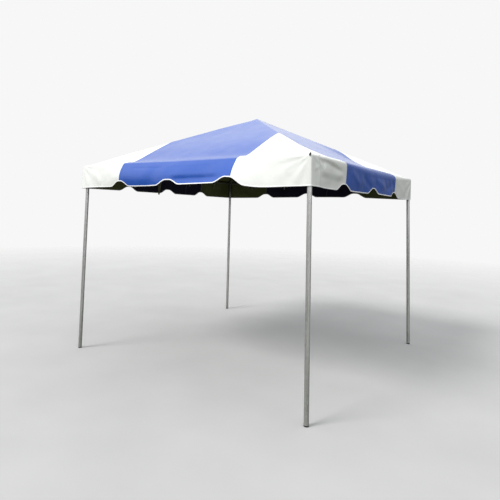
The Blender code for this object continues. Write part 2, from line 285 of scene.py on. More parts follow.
# The same galvanised tube, darker and rougher, for the frame above the legs: its darker colour is painted
# shade, as those tubes sit in the shadow of the top
SHADED_STEEL = galvanised("galvanised_tube_painted_shade", (0.3, 0.3, 0.27), (0.2, 0.2, 0.18), 0.5, 0.6)
ZINC = galvanised("zinc_plated_wire", (0.66, 0.66, 0.64), (0.5, 0.5, 0.48), 0.3, 0.9)
STRAP = webbing("strap_webbing", (0.56, 0.52, 0.41), (0.42, 0.39, 0.31))
PALE_STRAP = webbing("pale_strap_webbing", (0.46, 0.45, 0.41), (0.36, 0.355, 0.32))
SEAM_TAPE = webbing("seam_tape", (0.34, 0.31, 0.31), (0.25, 0.23, 0.235))
THREAD = webbing("thread", (0.62, 0.6, 0.54), (0.5, 0.48, 0.43))
PLASTIC = moulded("black_plastic_face", (0.014, 0.014, 0.015), (0.03, 0.03, 0.032), 0.48)


# Mesh helpers


def smoothstep(value):
    value = np.clip(value, 0.0, 1.0)
    return value * value * (3 - 2 * value)


def perlin(across, along, seed):
    """Perlin noise, about -1 to 1, at places in a plane."""
    places = zip(across.ravel(), along.ravel())
    return np.array([noise.noise((a, b, seed)) for a, b in places]).reshape(across.shape)


def add_object(name, data):
    made = bpy.data.objects.new(name, data)
    bpy.context.scene.collection.objects.link(made)
    return made


def unit(vectors):
    return vectors / np.maximum(np.linalg.norm(vectors, axis=-1, keepdims=True), 1e-12)


def normals_of(grid):
    """Unit normals of a grid (rows, columns, 3), outward where rows run up and columns counter-clockwise."""
    return unit(np.cross(np.gradient(grid, axis=1), np.gradient(grid, axis=0)))


def new_piece(name, points, faces, finishes, uv, which=None, sharp=40):
    """A mesh piece that rides on the part, from points in axes under the peak."""
    mesh = bpy.data.meshes.new(name)
    in_part = points + (0.0, MOVED_BACK, 0.0)
    mesh.from_pydata(in_part.tolist(), [], [list(f) for f in faces])
    layer = mesh.uv_layers.new(name="cloth")
    corners = np.zeros(len(mesh.loops), np.int32)
    mesh.loops.foreach_get("vertex_index", corners)
    layer.data.foreach_set("uv", uv[corners].astype(np.float32).ravel())
    for finish in finishes:
        mesh.materials.append(finish)
    if which is not None:
        mesh.polygons.foreach_set("material_index", np.asarray(which, np.int32))
    mesh.shade_smooth()
    mesh.set_sharp_from_angle(angle=math.radians(sharp))
    made = add_object(name, mesh)
    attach(made, "root")
    return made


def shell(name, grid, uv, finishes):
    """A sheet as thick as the vinyl: its outer face is the grid, and its edges are closed."""
    rows, columns = grid.shape[:2]
    count = rows * columns
    index = np.arange(count).reshape(rows, columns)
    corners = [index[:-1, :-1], index[:-1, 1:], index[1:, 1:], index[1:, :-1]]
    outside = np.stack(corners, axis=-1).reshape(-1, 4)
    inside = outside[:, ::-1] + count
    rim = np.concatenate([index[0, :-1], index[:-1, -1], index[-1, :0:-1], index[:0:-1, 0]])
    after = np.roll(rim, -1)
    sides = np.stack([after, rim, rim + count, after + count], axis=-1)
    which = np.repeat([0, 1, 0], [len(outside), len(inside), len(sides)])
    inner = grid - normals_of(grid) * SHEET
    points = np.concatenate([grid.reshape(-1, 3), inner.reshape(-1, 3)])
    coords = np.concatenate([uv.reshape(-1, 2)] * 2)
    return new_piece(name, points, np.concatenate([outside, inside, sides]), finishes, coords, which)


def swept(loops, closed=False):
    """Points and faces of a tube through loops of points."""
    rows, columns = loops.shape[:2]
    index = np.arange(rows * columns).reshape(rows, columns)
    beside = np.roll(index, -1, axis=1)
    last = rows if closed else rows - 1
    ahead, ahead_beside = np.roll(index, -1, axis=0), np.roll(beside, -1, axis=0)
    faces = np.stack([index, beside, ahead_beside, ahead], axis=-1)[:last].reshape(-1, 4).tolist()
    if not closed:
        faces += [index[0, ::-1].tolist(), index[-1].tolist()]
    return loops.reshape(-1, 3), faces


def circle(first, second, count):
    """Places on a circle of radius 1 in the plane of two directions, or one circle for each pair of them."""
    angle = (np.arange(count) * 2 * math.pi / count)[:, None]
    return np.cos(angle) * first[..., None, :] + np.sin(angle) * second[..., None, :]


def round_wire(path, radius, side, sides, closed=False):
    """Round wire along a path; side is a direction across it."""
    path = np.asarray(path, float)
    ahead = np.roll(path, -1, axis=0) - np.roll(path, 1, axis=0) if closed else np.gradient(path, axis=0)
    tangent = unit(ahead)
    first = unit(side - (tangent @ side)[:, None] * tangent)
    return swept(path[:, None] + radius * circle(first, np.cross(tangent, first), sides), closed)


def ribbon(path, across, width, thick):
    """Flat strap with soft edges along a path; across is the direction of its width."""
    up = unit(np.cross(unit(np.gradient(path, axis=0)), across))
    soft, flat = 0.35, 0.94
    half = [(-1, -soft), (-1, soft), (-flat, 1), (flat, 1)]
    corners = half + [(-a, -b) for a, b in half]
    return swept(np.stack([path + a * width / 2 * across + b * thick / 2 * up for a, b in corners], axis=1))


# The shape of the vinyl top. On every side x runs along the eave, and inward is the distance in from the
# plane of the valance. Points are first worked out in axes under the peak.


def even(*values):
    """Values at evenly spaced places from one end of a side to the other."""
    return list(zip(np.linspace(-HALF, HALF, len(values)), values))


# At places along each side: how far the hem swings out, how far the cloth bulges out above it, how far below
# level the hem hangs, and how far the edge of the roof is pulled out and lifted at the eave
REACH = {
    "front": [(-1.524, 0.03), (-1.15, 0.038), (-0.9, 0.056), (-0.762, 0.068), (-0.35, 0.09), (0, 0.106),
              (0.4, 0.11), (0.762, 0.114), (1.1, 0.045), (1.35, 0.012), (1.524, 0)],
    "right": even(0, -0.01, -0.014, -0.006, 0),
    "back": even(0, -0.062, -0.06, -0.037, 0),
    "left": even(0, 0.034, 0.044, 0.044, 0.03),
}
BULGE = {
    "front": [(-1.524, 0), (-1.15, 0.007), (-0.762, 0.031), (-0.35, 0.034), (0, 0.02), (0.4, 0.01),
              (0.762, 0.01), (1.1, 0.004), (1.524, 0)],
    "right": even(0, 0.006, 0),
    "back": even(0, 0.008, 0),
    "left": even(0, 0.01, 0),
}
DROOP = {
    "front": [(-1.524, 0), (-1.2, -0.006), (-0.9, -0.002), (-0.4, 0.012), (0, 0.012), (0.45, 0.006),
              (0.762, 0.012), (1, 0.019), (1.3, 0.006), (1.524, 0)],
    "right": [(-1.524, 0), (-0.5, 0.004), (0.5, 0.002), (1, 0.014), (1.3, 0.014), (1.524, 0.008)],
    "back": [(-1.524, 0.008), (-1.1, 0), (1.524, 0)],
    "left": even(0, 0),
}
EAVE_OUT = {
    "front": [(-1.524, 0.012), (-1.2, 0.014), (-0.762, 0.026), (0, 0.018), (0.762, 0.016), (1.2, 0.006),
              (1.524, 0)],
    "right": even(0, 0.003, 0.018, 0.014, 0),
    "back": even(0, 0),
    "left": even(0, 0.005, 0.012),
}
EAVE_LIFT = {
    "front": [(-1.524, 0.014), (-1.2, 0.016), (-0.762, 0.019), (0, 0.005), (0.762, 0.002), (1.2, 0.001),
              (1.524, 0)],
    "right": [(-1.524, 0), (-0.762, 0.002), (0, -0.0038), (0.762, -0.0038), (1.1, -0.001), (1.524, 0.016)],
    "back": [(-1.524, 0.016), (-1.15, 0.003), (-0.8, 0), (0, 0), (1.524, 0)],
    "left": [(-1.524, 0), (0, 0), (0.8, 0), (1.15, 0.003), (1.524, 0.014)],
}
# Radius of the bend from the roof into the valance
SHOULDER = {
    "front": [(-1.524, 0.02), (-0.762, 0.04), (0, 0.048), (0.762, 0.05), (1.2, 0.036), (1.524, 0.03)],
    "right": [(-1.524, 0.03), (-0.762, 0.044), (0, 0.08), (0.762, 0.072), (1.2, 0.045), (1.524, 0.034)],
    "back": even(0.034, 0.034, 0.03),
    "left": even(0.03, 0.034, 0.02),
}


def smooth_through(places, x):
    """A smooth curve through some (x, value) places."""
    at, value = np.array(places).T
    slope = np.gradient(value, at)
    i = np.clip(np.searchsorted(at, x) - 1, 0, len(at) - 2)
    width = at[i + 1] - at[i]
    u = (x - at[i]) / width
    first = (1 + 2 * u) * (1 - u) ** 2 * value[i] + u * (1 - u) ** 2 * width * slope[i]
    return first + u * u * (3 - 2 * u) * value[i + 1] + u * u * (u - 1) * width * slope[i + 1]


def eave_lift(side, x, inward):
    """How far the cloth stands above the plane of the roof near the eave."""
    return smooth_through(EAVE_LIFT[side], x) * np.clip(1 - inward / LIFT_REACH, 0.0, None) ** 2


def edge_out(side, x):
    """How far out from ROOF_START the roof's edge is, where the bend begins."""
    wider = smooth_through(SHOULDER[side], x) - SHOULDER_RADIUS
    return smooth_through(EAVE_OUT[side], x) - wider * ROOF_START / SHOULDER_RADIUS


def sag_of(side, x, inward):
    """How far the roof hangs below its plane, most along a line near the eave."""
    share = np.clip((inward - SAG_START) / (HALF - SAG_START), 0.0, 1.0)
    deepest = (SAG_PLACE[side] - SAG_START) / (HALF - SAG_START)
    hollow = share / deepest * ((1 - share) / (1 - deepest)) ** ((1 - deepest) / deepest)
    from_hip = smoothstep((HALF - inward - np.abs(x)) / SAG_FROM_HIP)
    lean = SAG_LEAN[side] * np.clip(x / STRIPE, -1.0, 1.0)
    return SAG[side] * (1 + lean) * hollow * from_hip


def turned(k, x, y):
    """A place on side k in the axes under the peak."""
    c, s = round(math.cos(k * math.pi / 2)), round(math.sin(k * math.pi / 2))
    return c * x - s * y, s * x + c * y


def by_side(x, y):
    """For places in plan: which side of the roof each is on, its x along that side, and how far in it is."""
    k = np.where(np.abs(y) >= np.abs(x), np.where(y < 0, 0, 2), np.where(x > 0, 1, 3))
    along = np.select([k == 0, k == 1, k == 2, k == 3], [x, y, -x, -y])
    return k, along, HALF - np.maximum(np.abs(x), np.abs(y))


def rounding(distance, amount):
    """How much a sharp edge is cut back at some distance from it."""
    return (np.sqrt(distance**2 + amount**2) - np.abs(distance)) / 2


def roof_folds(k, x, inward):
    """Wrinkles of the roof of side k, as a height: they run up from the eave and out from the corners."""
    seed = 11.3 * k + 2.7
    fan = x / np.maximum(HALF - inward, 0.05) * 11
    near_eave = np.exp(-inward / 0.3) * smoothstep((inward - 0.02) / 0.08)
    height = EAVE_WRINKLES * perlin(x * 7.5, inward * 1.6, seed) * near_eave
    height += WIDE_FOLDS * perlin(x * 1.7, inward * 1.7, seed + 31) * smoothstep(inward / 0.2)
    height += FAN_FOLDS * perlin(fan, inward * 1.1, seed + 57) * smoothstep(inward / 0.3)
    return height * smoothstep((HALF - inward - np.abs(x)) / 0.09)


def corner_share(inward):
    """From 1 at the eave, where the corner is cut back in plan, to 0 where the hip is rounded in height."""
    return 1 - smoothstep((inward - ROOF_START) / CORNER_BLEND)


def roof_height(x, y):
    """Height of the roof's outer face at places in plan."""
    k, along, inward = by_side(x, y)
    z = EAVE_Z + SLOPE * inward
    for number, side in enumerate(SIDES):
        on = k == number
        if on.any():
            places = along[on], inward[on]
            z[on] += roof_folds(number, *places) - sag_of(side, *places) + eave_lift(side, *places)
    near, far = HALF - inward - np.abs(along), HALF - inward + np.abs(along)
    cut = rounding(near, RIDGE_ROUND) + rounding(far, RIDGE_ROUND)
    from_peak = np.hypot(x, y)
    hips = HIP_LIFT[(k + (along > 0)) % 4] * np.exp(-np.clip(near, 0.0, None) / HIP_SPREAD)
    hips *= smoothstep(from_peak / HIP_LIFT_FULL)
    z += smoothstep(inward / ROOF_LIFT_FULL) * (ROOF_LIFT + hips)
    z += PEAK_RISE * np.exp(-from_peak / PEAK_SPREAD)
    return z - SLOPE * cut * (1 - corner_share(inward))


def on_roof(k, x, inward):
    """Points of side k's roof in the axes under the peak."""
    plan = turned(k, np.broadcast_to(x, inward.shape), -(HALF - inward))
    return np.stack([*plan, roof_height(*plan)], axis=-1)


# Places of the three scallops along each side, with the share of NOTCH_RISE that each one rises
NOTCHES = {
    "front": [(-0.768, 1), (-0.018, 0.9), (0.744, 1)],
    "right": [(-0.8, 1), (0.008, 1), (0.762, 1)],
    "back": [(-STRIPE, 1), (0, 1), (STRIPE, 1)],
    "left": [(-STRIPE, 1), (0, 1), (STRIPE, 1)],
}


def hem_rise(k, x):
    """How far the scallops raise the hem."""
    rise = np.zeros_like(x)
    for place, share in NOTCHES[SIDES[k]]:
        away = (np.abs(x - place) - NOTCH_TOP_HALF) / (NOTCH_FOOT_HALF - NOTCH_TOP_HALF)
        rise += share * NOTCH_RISE * (1 - smoothstep(away))
    return rise


# Creases that the photograph shows on the valance, each from one place to another as (x along the side,
# distance below the eave), with its half width and how far it stands out
CREASES = {
    "front": [
        ((-1.36, 0.02), (-1.12, 0.23), 0.035, 0.0045),
        ((-1.1, 0.03), (-0.98, 0.2), 0.06, -0.003),
        ((-0.6, 0.07), (-0.12, 0.082), 0.013, -0.0035),
        ((-0.1, 0.055), (0.55, 0.045), 0.02, 0.0022),
        ((1.46, 0.03), (1.3, 0.14), 0.022, -0.003),
        ((1.43, 0.02), (1.22, 0.055), 0.018, 0.002),
    ],
    "right": [
        ((-1.405, 0.02), (-1.37, 0.25), 0.016, 0.0055),
        ((-1.372, 0.01), (-1.25, 0.075), 0.03, -0.01),
        ((-1.33, 0.02), (-0.84, 0.095), 0.026, -0.008),
        ((-1.3, 0), (-0.9, 0.055), 0.022, 0.006),
        ((-1.47, 0.12), (-1.38, 0.085), 0.016, 0.004),
        ((-1.33, 0.2), (-0.88, 0.15), 0.04, 0.005),
        ((-0.66, 0.05), (-0.4, 0.19), 0.045, 0.007),
        ((-0.35, 0.06), (-0.05, 0.2), 0.04, -0.007),
        ((0.05, 0.04), (0.38, 0.17), 0.05, 0.007),
        ((0.45, 0.18), (0.72, 0.06), 0.04, -0.006),
        ((0.86, 0.03), (1.2, 0.2), 0.045, 0.005),
    ],
    "back": [
        ((-1.42, 0.03), (-1.1, 0.2), 0.035, 0.005),
        ((-0.6, 0.08), (0.5, 0.11), 0.026, -0.004),
        ((1.42, 0.03), (1.05, 0.19), 0.035, 0.005),
    ],
    "left": [
        ((-1.42, 0.03), (-1.05, 0.19), 0.035, 0.005),
        ((-0.5, 0.1), (0.6, 0.09), 0.026, 0.004),
        ((1.4, 0.03), (1.15, 0.2), 0.035, 0.005),
    ],
}


# Stretches of the valance whose lower part hangs back in: middle along the side, half width, distance down
# where that begins, how far it goes in, and how far it flares out again down to the hem
TUCKS = {
    "front": [(0.32, 0.38, 0.15, 0.017, 0.014)],
    "right": [(-1.1, 0.3, 0.12, 0.018, 0.004), (0.28, 0.46, -0.03, 0.007, 0.019)],
    "back": [(0.4, 0.35, 0.11, 0.01, 0.008)],
    "left": [(0.35, 0.35, 0.11, 0.009, 0.007)],
}
TUCK_DROP = 0.22  # how much lower the hem hangs for each metre that it is tucked in
TUCK_HEIGHT = 0.07  # height over which it goes in; below that it flares out again


def to_stretch(x, down, start, end):
    """Distance to a straight stretch, and how far along it the nearest place is, from 0 to 1."""
    run = np.array(end) - start
    x, down = x - start[0], down - start[1]
    held = np.clip((x * run[0] + down * run[1]) / (run @ run), 0.0, 1.0)
    return np.hypot(x - held * run[0], down - held * run[1]), held


def valance_folds(k, x, down):
    """How far the folds of side k's valance stand out, at a distance down from the eave."""
    seed = 7.9 * k + 1.3
    out = HANGING_FOLDS * perlin(x * 5.2 + down * 1.5, down * 2.2, seed) * smoothstep(down / 0.16)
    out += FINE_FOLDS * perlin(x * 13 - down * 6, down * 7, seed + 19) * smoothstep(down / 0.05)
    for start, end, width, height in CREASES[SIDES[k]]:
        away, along = to_stretch(x, down, start, end)
        ends = smoothstep(np.minimum(along, 1 - along) / 0.25 + 0.25)
        out += height * np.exp(-((away / width) ** 2)) * ends
    corner = HALF - np.abs(x)
    angle = np.arctan2(down, np.maximum(corner, 1e-4))
    fan = smoothstep(corner / 0.08) * (1 - smoothstep((corner - 0.12) / 0.4)) * smoothstep(down / 0.03)
    out += CORNER_FOLDS * np.sin(angle * 13 + seed) * fan
    return out * smoothstep(corner / 0.1)


def tuck_of(k, x, down):
    """How far the valance of side k hangs back in."""
    found = np.zeros_like(x)
    for middle, half, start, depth, flare in TUCKS[SIDES[k]]:
        across = smoothstep(2.2 * (1 - np.abs(x - middle) / half))
        inward = depth * smoothstep((down - start) / TUCK_HEIGHT)
        low = start + TUCK_HEIGHT * 0.7
        outward = flare * np.clip((down - low) / (VALANCE_DROP - low), 0.0, 1.0)
        found += across * (inward - outward)
    return found


def valance_profile(k, x, share):
    """Of side k's cloth without its folds: how far out from the eave's plane it is, its height, and how far
    down the cloth. The share goes from 0 at the top of the bend over 1 at its foot to 2 at the hem."""
    side = SIDES[k]
    inward, radius = ROOF_START - edge_out(side, x), smooth_through(SHOULDER[side], x)
    near = (LIFT_REACH - inward) / LIFT_REACH
    slope = SLOPE - 2 * smooth_through(EAVE_LIFT[side], x) * near / LIFT_REACH
    top, steep = EAVE_Z + SLOPE * inward + eave_lift(side, x, inward), math.pi / 2 - np.arctan(slope)
    reach, bulge = smooth_through(REACH[side], x), smooth_through(BULGE[side], x)
    hem = EAVE_Z - BEND_REACH - HANG - smooth_through(DROOP[side], x) + HEM_LIFT * reach * reach / HANG

    def on_bend(angle):
        out = radius * (np.cos(angle) - np.cos(steep)) - inward
        return out, top - radius * (np.sin(steep) - np.sin(angle))

    lean = np.zeros_like(x)  # from upright, where the cloth leaves the bend
    for _ in range(4):
        out, z = on_bend(lean)
        lean = np.arctan2((reach - out) * (1 + SWING_CURVE) + math.pi * bulge, z - hem)
    bend = np.clip(share, 0.0, 1.0)
    out, z = on_bend(steep + (lean - steep) * bend)
    fall = np.clip(share - 1, 0.0, 1.0) * (1 - hem_rise(k, x) / (z - hem))
    out = out + (reach - out) * fall * (1 + SWING_CURVE * (1 - fall)) + bulge * np.sin(math.pi * fall)
    return out, z - fall * (z - hem), BEND_REACH * bend + fall * HANG


def off_rail(out, z):
    """Cloth that would go into the eave rail, moved out onto it."""
    across, up = out + TUBE_INSET, z - RAIL_Z
    push = np.maximum(1.0, REST_RADIUS / np.hypot(across, up))
    return across * push - TUBE_INSET, RAIL_Z + up * push


def valance_points(k, x, share, plan_x):
    """Points of side k's valance in the axes under the peak. A place x along the eave is at plan_x in plan,
    after the mitre."""
    out, z, down = valance_profile(k, x, share)
    tuck = tuck_of(k, x, down)
    z = z - TUCK_DROP * tuck * down / VALANCE_DROP
    out, z = off_rail(out + valance_folds(k, x, down) - tuck, z)
    cut = rounding(HALF - np.abs(x), CORNER_ROUND)
    plan = turned(k, plan_x - np.sign(plan_x) * cut, -(HALF + out - cut))
    return np.stack([*plan, z], axis=-1)


def roof_inward(k, x, ring, roof):
    """How far in a row of the roof is, where the edge is pulled out at the eave."""
    return ring - edge_out(SIDES[k], x) * (1 - roof)


def sheet_rows(roof_rows):
    """Shares of the valance's rows from the hem up, and of the roof's rows from the eave up, as columns."""
    hang = 2 - np.arange(HANG_ROWS + 1) / HANG_ROWS
    bend = 1 - np.arange(1, BEND_ROWS + 1) / BEND_ROWS
    roof = (np.arange(1, roof_rows + 1) / roof_rows) ** 1.35
    return np.concatenate([hang, bend])[:, None], roof[:, None]


def valance_grid(k, x, hang):
    """Points of side k's valance in columns at places x."""
    x = np.broadcast_to(x, (len(hang), len(x)))
    return valance_points(k, x, hang, x)


def weld_lift(distance):
    """Raised band along a welded seam, at a distance from the seam's middle into the upper sheet."""
    return WELD_STEP * (1 - smoothstep((distance - OVERLAP) / WELD_FADE))


def with_cloth_places(grid, across):
    """The grid and its cloth coordinates: places across it, and the lengths up its columns from the hem."""
    steps = np.linalg.norm(np.diff(grid, axis=0), axis=-1)
    lengths = np.concatenate([np.zeros((1, grid.shape[1])), np.cumsum(steps, axis=0)])
    return grid, np.stack([np.broadcast_to(across, lengths.shape), lengths], axis=-1)


def blue_grid(k):
    """Outer face of the blue strip of side k from hem to peak, and its cloth coordinates."""
    x = np.linspace(-1, 1, STRIP_COLUMNS + 1) * (STRIPE + OVERLAP)
    hang, roof = sheet_rows(STRIP_ROOF_ROWS)
    over_hip = OVERLAP * smoothstep(np.abs(x) / 0.12) * (k % 2 == 0)
    inward = ROOF_START + roof * (HALF - np.abs(x) + over_hip - ROOF_START)
    inward = roof_inward(k, x, inward, roof)
    grid = np.concatenate([valance_grid(k, x, hang), on_roof(k, x, inward)])
    lift = np.broadcast_to(weld_lift(STRIPE - np.abs(x)), grid.shape[:2]).copy()
    if k % 2 == 0:
        lift[len(hang):] += weld_lift(HALF - inward - np.abs(x))
    return with_cloth_places(grid + normals_of(grid) * lift[..., None], x)


def corner_grid(c):
    """Outer face of the white corner between sides c - 1 and c, going round it, and cloth coordinates."""
    power = (np.arange(1, CORNER_HALF_COLUMNS + 1) / CORNER_HALF_COLUMNS) ** 1.5
    spread = np.concatenate([-power[::-1], [0.0], power])
    reach = HALF - STRIPE + OVERLAP
    hang, roof = sheet_rows(CORNER_ROOF_ROWS)
    ring = ROOF_START + roof * (reach - BLUNT_TIP - ROOF_START)
    far = np.abs(spread)
    halves = []
    for k, sign in (((c - 1) % 4, 1), (c, -1)):
        end = np.array([sign * HALF])
        edge = valance_profile(k, end, hang)[0]
        plan_x = sign * (HALF + edge - far * (reach + edge))
        low = valance_points(k, np.broadcast_to(sign * (HALF - far * reach), plan_x.shape), hang, plan_x)
        mitred = roof_inward(k, end, ring, roof)
        along = HALF - mitred - far * (reach - mitred)
        inward = roof_inward(k, sign * along, ring, roof)
        z = roof_height(*turned(k, sign * along, -(HALF - inward)))
        cut = rounding(far * (reach - ring), CORNER_ROUND) * corner_share(ring)
        plan = turned(k, sign * (along - cut), -(HALF - inward - cut))
        halves.append(np.concatenate([low, np.stack([*plan, z], axis=-1)]))
    return with_cloth_places(np.where((spread < 0)[:, None], *halves), spread * reach)


def hem_tape(name, grid, uv):
    """White tape folded over the lowest edge of a sheet."""
    edge, out = grid[0], normals_of(grid)[0]
    up = np.cross(out, unit(np.gradient(edge, axis=0)))
    face, middle, back, fold = TAPE_THICK, -SHEET / 2, -SHEET - TAPE_THICK, -TAPE_THICK
    low, high, top = 0.0008, TAPE_HEIGHT - 0.0006, TAPE_HEIGHT
    outline = [
        (face, high), (face, low), (face * 0.4, fold * 0.7), (middle, fold), (back - fold * 0.6, fold * 0.7),
        (back, low), (back, high), (back - fold * 0.6, top), (middle, top - 0.0003), (face * 0.4, top),
    ][::-1]
    points, faces = swept(np.stack([edge + n * out + b * up for n, b in outline], axis=1))
    coords = np.repeat(uv[0], len(outline), axis=0)
    coords[:, 1] = np.tile([b for _, b in outline], len(edge))
    return new_piece(name, points, faces, [TAPE], coords, sharp=60)


SEAM_TAPE_HALF = 0.013
FLAP_SEAM_HALF = 0.003
SEAM_TAPE_DEPTH = SHEET + 0.0003  # from the outer face of the blue strip down to the tape
SEAM_TAPE_ENDS = 0.03  # how far it stops short of the hip


def seam_tape(name, k, x, half_width=SEAM_TAPE_HALF, onto_roof=True, places=5):
    """A tape welded under the top of side k, from just above the hem up to the hip or only to the bend."""
    across = x + np.linspace(-half_width, half_width, places)
    hang, roof = sheet_rows(CORNER_ROOF_ROWS)
    grid = valance_grid(k, across, hang[2:])
    if onto_roof:
        ring = ROOF_START + roof * (HALF - STRIPE - SEAM_TAPE_ENDS - ROOF_START)
        grid = np.concatenate([grid, on_roof(k, across, roof_inward(k, across, ring, roof))])
    grid, uv = with_cloth_places(grid - normals_of(grid) * SEAM_TAPE_DEPTH, across)
    return shell(name, grid, uv, [SEAM_TAPE, SEAM_TAPE])


def add_blue_strip(k):
    side = SIDES[k]
    grid, uv = blue_grid(k)
    # the inner face gets the underside with painted shade
    piece = shell(f"top_blue_{side}", grid, uv, [BLUE, BLUE_UNDERSIDE_PAINTED_SHADE])
    tape = hem_tape(f"hem_tape_blue_{side}", grid, uv)
    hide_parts(f"roof_blue_{side}", f"valance_blue_{side}")


def add_white_corner(c):
    before, after, name = SIDES[c - 1], SIDES[c], CORNERS[c]
    grid, uv = corner_grid(c)
    # the inner face gets the underside with painted shade
    piece = shell(f"top_white_{name}", grid, uv, [WHITE, WHITE_UNDERSIDE_PAINTED_SHADE])
    tape = hem_tape(f"hem_tape_white_{name}", grid, uv)
    seams = [
        seam_tape(f"seam_tape_{before}_near_{after}", (c - 1) % 4, STRIPE),
        seam_tape(f"seam_tape_{after}_near_{before}", c, -STRIPE),
    ]
    for what in ("roof", "valance"):
        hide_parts(f"{what}_white_{before}_near_{after}", f"{what}_white_{after}_near_{before}")


for k in range(4):
    add_blue_strip(k)
for c in range(4):
    add_white_corner(c)


# Straps, thread, the corner tab and pins

THREAD_RADIUS = 0.0005
STITCH_SHARE = 0.72  # of its step that a stitch fills
WEBBING = 0.0015
STRAP_WIDTH = 0.025
STRAP_GAP = 0.0008  # between the rail and the middle of a strap round it
LAYER, EAVE_LAYER = WEBBING * 0.56, WEBBING * 0.6  # from between a strap's two layers to the middle of one
# Below the rail's axis: where a strap's two layers come together, and its stitches
TIE_JOIN, TIE_BOX = 0.085, (0.118, 0.092)
EAVE_JOIN, EAVE_ROWS, EAVE_STRAP_END = 0.055, (0.06, 0.072), 0.112
TIE_SHORT_END = (0.045, 0.008)  # below TIE_JOIN, where the tie's inner layer ends and begins
TIE_FOOT_ROWS = ((0.016, 0.008), (0.024, 0.01))  # height above the tie's foot, and half length
TIE_MARGIN, EAVE_MARGIN = 0.0035, 0.004  # from a strap's edge to its stitches
TIE_STRETCH, TIE_SWAY = 0.014, 0.016  # the tie's foot hangs a bit lower and further forward than in CAD
STITCH_LIFT = 0.2  # how proud a stitch is, as a share of its way out from the strap
EAVE_APART = (0.006, 0.004)  # how far the ends of a strap's layers hang apart
EAVE_SWING = (0.03, 0.08)  # where below the rail a strap begins to sway, and over what length
# Each eave strap's place along the side, its sway and its twist
EAVE_STRAPS = [(-1.035, 0.012, -0.1), (-0.4, -0.016, 0.06), (0.4, 0.01, -0.05), (1.035, -0.014, 0.12)]
PIN_RADIUS = 0.0032
# Rings of a pin's ends: how far out of the sleeve, and their share of the pin's radius
PIN_HEAD = [(-0.002, 1), (0.0062, 1), (0.0074, 0.8), (0.008, 0.4)]
PIN_TIP = [(-0.002, 1), (0.0016, 1), (0.003, 0.6)]
LEG_PIN, PIN_PLACE = 0.72, 0.74  # shares of a sleeve's length
RING_OUT = 0.004  # out of the sleeve, where the ring goes through the pin
RING_RADIUS = 0.0105
RING_WIRE = 0.0011
DOWN = np.array((0.0, 0.0, -1.0))


def round_rail(join):
    """Path of a strap that comes up from join below a rail at the origin, goes over it and comes back down,
    in a plane whose first axis is across the rail and whose second is up."""
    radius = TUBE_RADIUS + STRAP_GAP
    touch = math.acos(radius / join)
    angle = np.linspace(touch - math.pi / 2, 1.5 * math.pi - touch, 22)
    over = np.stack([np.cos(angle), np.sin(angle)], axis=1) * radius
    share = np.linspace(0, 1, 6)[:, None]
    up = np.array((STRAP_GAP, -join)) * (1 - share) + over[0] * share
    down = over[-1] * (1 - share) + np.array((-STRAP_GAP, -join)) * share
    return np.concatenate([up[:-1], over, down[1:]])


def stitches(start, end, lift, count):
    """A row of stitches from one place to another, as short bars of thread proud of the strap by lift."""
    step = (end - start) / count
    parts = []
    for i in range(count):
        first = start + step * (i + (1 - STITCH_SHARE) / 2)
        last = first + step * STITCH_SHARE
        arch = [first - lift, first, (first + last) / 2 + lift * 0.25, last, last - lift]
        parts.append(round_wire(arch, THREAD_RADIUS, np.cross(step, lift), 6))
    return parts


def add_joined(name, parts, finish, sharp=50):
    """One piece of several parts, each its points in axes under the peak and its faces."""
    points, faces, start = [], [], 0
    for some_points, some_faces in parts:
        points.append(some_points)
        faces += [[i + start for i in face] for face in some_faces]
        start += len(some_points)
    points = np.concatenate(points)
    return new_piece(name, points, faces, [finish], points[:, 1:], sharp=sharp)


def add_tie():
    """The V of webbing under the left eave rail: two straps that go round it and are sewn at their foot."""
    parts, thread = [], []
    out = np.array((1.0, 0.0, 0.0))
    face = out * -WEBBING * 1.15
    foot = np.array((-AXIS, LOOP_Y - TIE_SWAY, RAIL_Z - LOOP_DEPTH - TIE_STRETCH))
    steps = np.linspace(0, 1, 14)[1:]
    short = [(LAYER, -TIE_JOIN - length) for length in np.linspace(*TIE_SHORT_END, 4)]
    for sign in (-1, 1):
        head = np.array((-AXIS, LOOP_Y + sign * (LOOP_HALF_WIDTH - STRAP_WIDTH / 2), RAIL_Z))
        reach = np.linalg.norm(head - foot)
        up = (head - foot) / reach
        width_way = np.cross(up, out)
        across = (sign * 1.1 * WEBBING + LAYER) * smoothstep(steps * 1.4) - LAYER
        long = np.stack([across, -TIE_JOIN - steps * (reach - TIE_JOIN)], axis=1)
        flat = np.concatenate([short, round_rail(TIE_JOIN), long])
        parts.append(ribbon(head + flat[:, :1] * out + flat[:, 1:] * up, width_way, STRAP_WIDTH, WEBBING))
        low, top = (head + face - up * depth for depth in TIE_BOX)
        edge = width_way * (STRAP_WIDTH / 2 - TIE_MARGIN)
        for side in (-1, 1):
            thread += stitches(low + side * edge, top + side * edge, face * STITCH_LIFT, 7)
        for place in (low, top):
            thread += stitches(place - edge, place + edge, face * STITCH_LIFT, 5)
    for side in (-1, 1):
        for height, half in TIE_FOOT_ROWS:
            place, half_row = foot + (-side * 2.0 * WEBBING, 0.0, height), np.array((0.0, half, 0.0))
            thread += stitches(place - half_row, place + half_row, np.array((-side * 0.0004, 0.0, 0.0)), 5)
    straps = add_joined("tie_strap_left", parts, STRAP)
    add_joined("tie_strap_left_thread", thread, THREAD)
    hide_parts("tie_loop_left")


